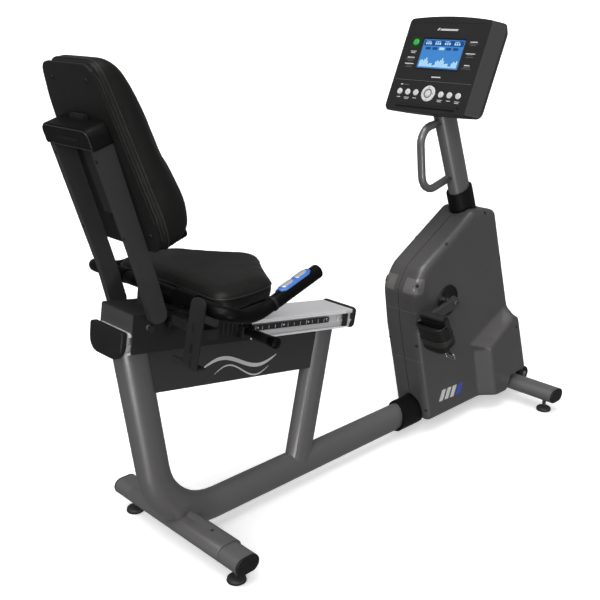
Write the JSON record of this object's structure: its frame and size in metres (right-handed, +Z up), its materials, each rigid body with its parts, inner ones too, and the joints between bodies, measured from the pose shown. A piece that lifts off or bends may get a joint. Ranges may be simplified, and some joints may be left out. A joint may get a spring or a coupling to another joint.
{
  "type": "recumbent exercise bike",
  "caption": "Recumbent stationary exercise bike with a sliding seat on a sloping rail, side grips, turning cranks with strapped pedals, an enclosed drive and a tilted console on a mast.",
  "frame": {"origin": "centre of the footprint, at floor level", "axes": "+X from the seat towards the console, +Y to the left of a seated rider, +Z up"},
  "size_m": [1.7985, 0.5844, 1.3569],
  "materials": {
    "bare_steel": "zinc plated",
    "black_plastic": "moulded black",
    "black_rubber": "moulded black",
    "black_vinyl": "soft black vinyl over foam",
    "carriage_paint": "dark grey satin",
    "console_plastic": "satin mid grey",
    "crank_steel": "satin",
    "frame_paint": "dark metallic charcoal powder coat",
    "key_plastic": "white",
    "panel_paint": "satin grey powder coat",
    "rail_aluminium": "anodised extrusion",
    "screen_glass": "clear window over a blue display",
    "shroud_plastic": "fine spark texture, charcoal",
    "start_plastic": "green",
    "strap_rubber": "moulded grey-black"
  },
  "bodies": {
    "frame": {"alternator": "bare_steel", "bottom_bracket": "black_plastic", "console_back": "console_plastic", "console_front": "console_plastic", "console_screen": "screen_glass", "drive_belt": "black_rubber", "front_bar_cap_left": "black_plastic", "front_bar_cap_right": "black_plastic", "front_foot_bar": "frame_paint", "front_saddle": "frame_paint", "grab_handle": "frame_paint", "main_tube": "frame_paint", "mast": "frame_paint", "mast_collar": "black_plastic", "rail_cap_front": "black_plastic", "rail_cap_rear": "black_plastic", "rail_panel": "panel_paint", "rear_bar_cap_left": "black_plastic", "rear_bar_cap_right": "black_plastic", "rear_foot_bar": "frame_paint", "seat_rail": "rail_aluminium", "seat_strut": "frame_paint", "shroud_left": "shroud_plastic", "shroud_right": "shroud_plastic", "spine_collar": "black_plastic"},
    "crank": {"crank_shaft": "bare_steel", "crank_arm_left": "crank_steel", "crank_arm_right": "crank_steel", "drive_pulley": "black_plastic"},
    "pedal_right": {"pedal_right": "black_plastic", "pedal_strap_right": "strap_rubber"},
    "pedal_left": {"pedal_left": "black_plastic", "pedal_strap_left": "strap_rubber"},
    "alternator_rotor": {"alternator_rotor": "bare_steel"},
    "seat": {"seat_carriage": "carriage_paint", "back_post_left": "carriage_paint", "back_post_right": "carriage_paint", "back_cap": "black_plastic", "back_board": "black_vinyl", "back_pad": "black_vinyl", "seat_pan": "black_plastic", "seat_pad": "black_vinyl", "handlebar": "black_plastic", "bottle_bracket": "carriage_paint"},
    "release_lever": {"release_lever": "black_plastic"},
    "transport_wheel_left": {"transport_wheel_left": "black_rubber"},
    "transport_wheel_right": {"transport_wheel_right": "black_rubber"},
    "key_1": {"key_1": "key_plastic"},
    "key_2": {"key_2": "key_plastic"},
    "key_3": {"key_3": "key_plastic"},
    "key_4": {"key_4": "key_plastic"},
    "key_5": {"key_5": "key_plastic"},
    "key_6": {"key_6": "key_plastic"},
    "start_button": {"start_button": "start_plastic"},
    "ring_button": {"ring_button": "key_plastic"},
    "select_button": {"select_button": "key_plastic"},
    "rear_foot_left": {"rear_foot_left": "black_rubber"},
    "rear_foot_right": {"rear_foot_right": "black_rubber"},
    "front_foot_left": {"front_foot_left": "black_rubber"},
    "front_foot_right": {"front_foot_right": "black_rubber"}
  },
  "joints": [
    {"name": "crank_turn", "type": "hinge", "parent": "frame", "child": "crank", "pos_m": [0.40225, 0, 0.471], "axis": [0, 1, 0], "continuous": true},
    {"name": "pedal_turn_right", "type": "hinge", "parent": "crank", "child": "pedal_right", "pos_m": [0.2351, -0.159, 0.44002], "axis": [0, 1, 0], "continuous": true},
    {"name": "pedal_turn_left", "type": "hinge", "parent": "crank", "child": "pedal_left", "pos_m": [0.5694, 0.159, 0.50198], "axis": [0, 1, 0], "continuous": true},
    {"name": "rotor_turn", "type": "hinge", "parent": "frame", "child": "alternator_rotor", "pos_m": [0.59625, 0.04, 0.222], "axis": [0, 1, 0], "continuous": true},
    {"name": "seat_slide", "type": "slide", "parent": "frame", "child": "seat", "axis": [0.9869, 0, -0.1616], "range_m": [0, 0.37]},
    {"name": "lever_lift", "type": "hinge", "parent": "seat", "child": "release_lever", "pos_m": [-0.47195, -0.087, 0.5954], "axis": [-0.9869, 0, 0.1616], "range_deg": [0, 15], "stiffness_Nm_per_rad": 4, "springref_deg": -8.59},
    {"name": "wheel_turn_left", "type": "hinge", "parent": "frame", "child": "transport_wheel_left", "pos_m": [0.87225, 0.082, 0.078], "axis": [0, 1, 0], "continuous": true},
    {"name": "wheel_turn_right", "type": "hinge", "parent": "frame", "child": "transport_wheel_right", "pos_m": [0.87225, -0.082, 0.078], "axis": [0, 1, 0], "continuous": true},
    {"name": "rear_foot_left_turn", "type": "hinge", "parent": "frame", "child": "rear_foot_left", "pos_m": [-0.64375, 0.228, 0.02], "axis": [0, 0, 1], "continuous": true},
    {"name": "rear_foot_right_turn", "type": "hinge", "parent": "frame", "child": "rear_foot_right", "pos_m": [-0.64375, -0.228, 0.02], "axis": [0, 0, 1], "continuous": true},
    {"name": "front_foot_left_turn", "type": "hinge", "parent": "frame", "child": "front_foot_left", "pos_m": [0.79785, 0.228, 0.02], "axis": [0, 0, 1], "continuous": true},
    {"name": "front_foot_right_turn", "type": "hinge", "parent": "frame", "child": "front_foot_right", "pos_m": [0.79785, -0.228, 0.02], "axis": [0, 0, 1], "continuous": true},
    {"name": "key_1_press", "type": "slide", "parent": "frame", "child": "key_1", "axis": [0.9128, 0, -0.4083], "range_m": [0, 0.0012], "stiffness_N_per_m": 1500, "springref_m": -0.001},
    {"name": "key_2_press", "type": "slide", "parent": "frame", "child": "key_2", "axis": [0.9128, 0, -0.4083], "range_m": [0, 0.0012], "stiffness_N_per_m": 1500, "springref_m": -0.001},
    {"name": "key_3_press", "type": "slide", "parent": "frame", "child": "key_3", "axis": [0.9128, 0, -0.4083], "range_m": [0, 0.0012], "stiffness_N_per_m": 1500, "springref_m": -0.001},
    {"name": "key_4_press", "type": "slide", "parent": "frame", "child": "key_4", "axis": [0.9128, 0, -0.4083], "range_m": [0, 0.0012], "stiffness_N_per_m": 1500, "springref_m": -0.001},
    {"name": "key_5_press", "type": "slide", "parent": "frame", "child": "key_5", "axis": [0.9128, 0, -0.4083], "range_m": [0, 0.0012], "stiffness_N_per_m": 1500, "springref_m": -0.001},
    {"name": "key_6_press", "type": "slide", "parent": "frame", "child": "key_6", "axis": [0.9128, 0, -0.4083], "range_m": [0, 0.0012], "stiffness_N_per_m": 1500, "springref_m": -0.001},
    {"name": "start_button_press", "type": "slide", "parent": "frame", "child": "start_button", "axis": [0.9128, 0, -0.4083], "range_m": [0, 0.0015], "stiffness_N_per_m": 1500, "springref_m": -0.001},
    {"name": "ring_button_press", "type": "slide", "parent": "frame", "child": "ring_button", "axis": [0.9128, 0, -0.4083], "range_m": [0, 0.001], "stiffness_N_per_m": 1500, "springref_m": -0.001},
    {"name": "select_button_press", "type": "slide", "parent": "frame", "child": "select_button", "axis": [0.9128, 0, -0.4083], "range_m": [0, 0.0012], "stiffness_N_per_m": 1500, "springref_m": -0.001}
  ],
  "couplings": [
    {"joint": "rotor_turn", "follows": "crank_turn", "ratio": 5}
  ]
}
